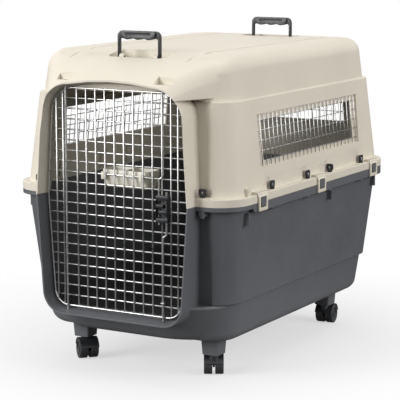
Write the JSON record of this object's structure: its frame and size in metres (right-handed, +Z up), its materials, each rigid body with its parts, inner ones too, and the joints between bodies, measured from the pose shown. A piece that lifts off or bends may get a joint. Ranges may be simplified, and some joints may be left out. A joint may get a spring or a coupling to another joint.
{
  "type": "pet travel crate",
  "caption": "Large moulded pet travel crate: grey base tub, pale bolted roof, welded wire door and windows, swivel casters, carrying handles and a hooked feeding cup.",
  "frame": {"origin": "centre of the footprint, on the floor under the casters", "axes": "+Z up; -Y is the front with the door; +X is to the right of a person who looks at the door"},
  "size_m": [0.642, 0.925, 0.8328],
  "materials": {
    "beige_plastic": "moulded, fine grain",
    "grey_plastic": "moulded, fine grain",
    "black_plastic": "moulded, satin",
    "cream_plastic": "smooth",
    "zinc_wire": "bright zinc plating",
    "steel": "plain"
  },
  "bodies": {
    "crate": {"base_tub": "grey_plastic", "roof_shell": "beige_plastic", "window_grille_right": "zinc_wire", "window_grille_left": "zinc_wire", "window_grille_rear": "zinc_wire", "bolt_right_1": "steel", "bolt_left_1": "steel", "bolt_right_2": "steel", "bolt_left_2": "steel", "bolt_right_3": "steel", "bolt_left_3": "steel", "bolt_right_4": "steel", "bolt_left_4": "steel", "bolt_front_right": "steel", "bolt_rear_right": "steel", "bolt_front_left": "steel", "bolt_rear_left": "steel"},
    "door": {"door_grille": "zinc_wire", "hinge_rod": "zinc_wire", "latch_case": "black_plastic", "rod_guide": "zinc_wire", "latch_spring_upper": "steel", "latch_spring_lower": "steel"},
    "latch_upper": {"latch_rod_upper": "zinc_wire"},
    "latch_lower": {"latch_rod_lower": "zinc_wire"},
    "cup": {"feeding_cup": "cream_plastic"},
    "handle_front": {"handle_front": "black_plastic"},
    "handle_rear": {"handle_rear": "black_plastic"},
    "clip_right_front": {"clip_right_front": "beige_plastic"},
    "clip_right_middle": {"clip_right_middle": "beige_plastic"},
    "clip_right_rear": {"clip_right_rear": "beige_plastic"},
    "clip_left_front": {"clip_left_front": "beige_plastic"},
    "clip_left_middle": {"clip_left_middle": "beige_plastic"},
    "clip_left_rear": {"clip_left_rear": "beige_plastic"},
    "wing_nut_right_1": {"wing_nut_right_1": "black_plastic"},
    "wing_nut_left_1": {"wing_nut_left_1": "black_plastic"},
    "wing_nut_right_2": {"wing_nut_right_2": "black_plastic"},
    "wing_nut_left_2": {"wing_nut_left_2": "black_plastic"},
    "wing_nut_right_3": {"wing_nut_right_3": "black_plastic"},
    "wing_nut_left_3": {"wing_nut_left_3": "black_plastic"},
    "wing_nut_right_4": {"wing_nut_right_4": "black_plastic"},
    "wing_nut_left_4": {"wing_nut_left_4": "black_plastic"},
    "wing_nut_front_right": {"wing_nut_front_right": "black_plastic"},
    "wing_nut_rear_right": {"wing_nut_rear_right": "black_plastic"},
    "wing_nut_front_left": {"wing_nut_front_left": "black_plastic"},
    "wing_nut_rear_left": {"wing_nut_rear_left": "black_plastic"},
    "caster_front_left": {"caster_frame_front_left": "black_plastic"},
    "wheel_front_left_a": {"wheel_front_left_a": "black_plastic"},
    "wheel_front_left_b": {"wheel_front_left_b": "black_plastic"},
    "caster_front_right": {"caster_frame_front_right": "black_plastic"},
    "wheel_front_right_a": {"wheel_front_right_a": "black_plastic"},
    "wheel_front_right_b": {"wheel_front_right_b": "black_plastic"},
    "caster_rear_left": {"caster_frame_rear_left": "black_plastic"},
    "wheel_rear_left_a": {"wheel_rear_left_a": "black_plastic"},
    "wheel_rear_left_b": {"wheel_rear_left_b": "black_plastic"},
    "caster_rear_right": {"caster_frame_rear_right": "black_plastic"},
    "wheel_rear_right_a": {"wheel_rear_right_a": "black_plastic"},
    "wheel_rear_right_b": {"wheel_rear_right_b": "black_plastic"}
  },
  "joints": [
    {"name": "door_swing", "type": "hinge", "parent": "crate", "child": "door", "pos_m": [-0.1395, -0.4392, 0.43], "axis": [0, 0, -1], "range_deg": [0, 110]},
    {"name": "latch_upper_slide", "type": "slide", "parent": "door", "child": "latch_upper", "axis": [0, 0, 1], "range_m": [0, 0.01], "deforming": ["latch_spring_upper"]},
    {"name": "latch_lower_slide", "type": "slide", "parent": "door", "child": "latch_lower", "axis": [0, 0, -1], "range_m": [0, 0.01], "deforming": ["latch_spring_lower"]},
    {"name": "cup_lift", "type": "slide", "parent": "door", "child": "cup", "axis": [0, 0, 1], "range_m": [0, 0.015]},
    {"name": "handle_front_fold", "type": "hinge", "parent": "crate", "child": "handle_front", "pos_m": [0, -0.3265, 0.77], "axis": [-1, 0, 0], "range_deg": [0, 56]},
    {"name": "handle_rear_fold", "type": "hinge", "parent": "crate", "child": "handle_rear", "pos_m": [0, 0.3595, 0.77], "axis": [1, 0, 0], "range_deg": [0, 56]},
    {"name": "clip_right_front_swing", "type": "hinge", "parent": "crate", "child": "clip_right_front", "pos_m": [0.313, -0.2905, 0.4585], "axis": [0, -1, 0], "range_deg": [0, 75]},
    {"name": "clip_right_middle_swing", "type": "hinge", "parent": "crate", "child": "clip_right_middle", "pos_m": [0.313, 0.0265, 0.4585], "axis": [0, -1, 0], "range_deg": [0, 75]},
    {"name": "clip_right_rear_swing", "type": "hinge", "parent": "crate", "child": "clip_right_rear", "pos_m": [0.313, 0.3435, 0.4585], "axis": [0, -1, 0], "range_deg": [0, 75]},
    {"name": "clip_left_front_swing", "type": "hinge", "parent": "crate", "child": "clip_left_front", "pos_m": [-0.313, -0.2905, 0.4585], "axis": [0, 1, 0], "range_deg": [0, 75]},
    {"name": "clip_left_middle_swing", "type": "hinge", "parent": "crate", "child": "clip_left_middle", "pos_m": [-0.313, 0.0265, 0.4585], "axis": [0, 1, 0], "range_deg": [0, 75]},
    {"name": "clip_left_rear_swing", "type": "hinge", "parent": "crate", "child": "clip_left_rear", "pos_m": [-0.313, 0.3435, 0.4585], "axis": [0, 1, 0], "range_deg": [0, 75]},
    {"name": "wing_nut_right_1_turn", "type": "hinge", "parent": "crate", "child": "wing_nut_right_1", "pos_m": [0.309, -0.2268, 0.4613], "axis": [0, 0, 1], "continuous": true},
    {"name": "wing_nut_left_1_turn", "type": "hinge", "parent": "crate", "child": "wing_nut_left_1", "pos_m": [-0.309, -0.2268, 0.4613], "axis": [0, 0, 1], "continuous": true},
    {"name": "wing_nut_right_2_turn", "type": "hinge", "parent": "crate", "child": "wing_nut_right_2", "pos_m": [0.309, -0.0363, 0.4613], "axis": [0, 0, 1], "continuous": true},
    {"name": "wing_nut_left_2_turn", "type": "hinge", "parent": "crate", "child": "wing_nut_left_2", "pos_m": [-0.309, -0.0363, 0.4613], "axis": [0, 0, 1], "continuous": true},
    {"name": "wing_nut_right_3_turn", "type": "hinge", "parent": "crate", "child": "wing_nut_right_3", "pos_m": [0.309, 0.0907, 0.4613], "axis": [0, 0, 1], "continuous": true},
    {"name": "wing_nut_left_3_turn", "type": "hinge", "parent": "crate", "child": "wing_nut_left_3", "pos_m": [-0.309, 0.0907, 0.4613], "axis": [0, 0, 1], "continuous": true},
    {"name": "wing_nut_right_4_turn", "type": "hinge", "parent": "crate", "child": "wing_nut_right_4", "pos_m": [0.309, 0.2812, 0.4613], "axis": [0, 0, 1], "continuous": true},
    {"name": "wing_nut_left_4_turn", "type": "hinge", "parent": "crate", "child": "wing_nut_left_4", "pos_m": [-0.309, 0.2812, 0.4613], "axis": [0, 0, 1], "continuous": true},
    {"name": "wing_nut_front_right_turn", "type": "hinge", "parent": "crate", "child": "wing_nut_front_right", "pos_m": [0.23, -0.4235, 0.4613], "axis": [0, 0, 1], "continuous": true},
    {"name": "wing_nut_rear_right_turn", "type": "hinge", "parent": "crate", "child": "wing_nut_rear_right", "pos_m": [0.23, 0.4565, 0.4613], "axis": [0, 0, 1], "continuous": true},
    {"name": "wing_nut_front_left_turn", "type": "hinge", "parent": "crate", "child": "wing_nut_front_left", "pos_m": [-0.23, -0.4235, 0.4613], "axis": [0, 0, 1], "continuous": true},
    {"name": "wing_nut_rear_left_turn", "type": "hinge", "parent": "crate", "child": "wing_nut_rear_left", "pos_m": [-0.23, 0.4565, 0.4613], "axis": [0, 0, 1], "continuous": true},
    {"name": "caster_front_left_swivel", "type": "hinge", "parent": "crate", "child": "caster_front_left", "pos_m": [-0.187, -0.2935, 0.055], "axis": [0, 0, 1], "continuous": true},
    {"name": "wheel_front_left_a_roll", "type": "hinge", "parent": "caster_front_left", "child": "wheel_front_left_a", "pos_m": [-0.18441, -0.31454, 0.025], "axis": [0.6691, 0.7431, 0], "continuous": true},
    {"name": "wheel_front_left_b_roll", "type": "hinge", "parent": "caster_front_left", "child": "wheel_front_left_b", "pos_m": [-0.16581, -0.29388, 0.025], "axis": [0.6691, 0.7431, 0], "continuous": true},
    {"name": "caster_front_right_swivel", "type": "hinge", "parent": "crate", "child": "caster_front_right", "pos_m": [0.187, -0.2935, 0.055], "axis": [0, 0, 1], "continuous": true},
    {"name": "wheel_front_right_a_roll", "type": "hinge", "parent": "caster_front_right", "child": "wheel_front_right_a", "pos_m": [0.19104, -0.27269, 0.025], "axis": [-0.866, -0.5, 0], "continuous": true},
    {"name": "wheel_front_right_b_roll", "type": "hinge", "parent": "caster_front_right", "child": "wheel_front_right_b", "pos_m": [0.16696, -0.28659, 0.025], "axis": [-0.866, -0.5, 0], "continuous": true},
    {"name": "caster_rear_left_swivel", "type": "hinge", "parent": "crate", "child": "caster_rear_left", "pos_m": [-0.187, 0.3265, 0.055], "axis": [0, 0, 1], "continuous": true},
    {"name": "wheel_rear_left_a_roll", "type": "hinge", "parent": "caster_rear_left", "child": "wheel_rear_left_a", "pos_m": [-0.17772, 0.34555, 0.025], "axis": [-0.9659, -0.2588, 0], "continuous": true},
    {"name": "wheel_rear_left_b_roll", "type": "hinge", "parent": "caster_rear_left", "child": "wheel_rear_left_b", "pos_m": [-0.20457, 0.33836, 0.025], "axis": [-0.9659, -0.2588, 0], "continuous": true},
    {"name": "caster_rear_right_swivel", "type": "hinge", "parent": "crate", "child": "caster_rear_right", "pos_m": [0.187, 0.3265, 0.055], "axis": [0, 0, 1], "continuous": true},
    {"name": "wheel_rear_right_a_roll", "type": "hinge", "parent": "caster_rear_right", "child": "wheel_rear_right_a", "pos_m": [0.19915, 0.34386, 0.025], "axis": [-0.9945, -0.1045, 0], "continuous": true},
    {"name": "wheel_rear_right_b_roll", "type": "hinge", "parent": "caster_rear_right", "child": "wheel_rear_right_b", "pos_m": [0.1715, 0.34096, 0.025], "axis": [-0.9945, -0.1045, 0], "continuous": true}
  ],
  "couplings": [
    {"joint": "latch_lower_slide", "follows": "latch_upper_slide", "ratio": 1}
  ]
}
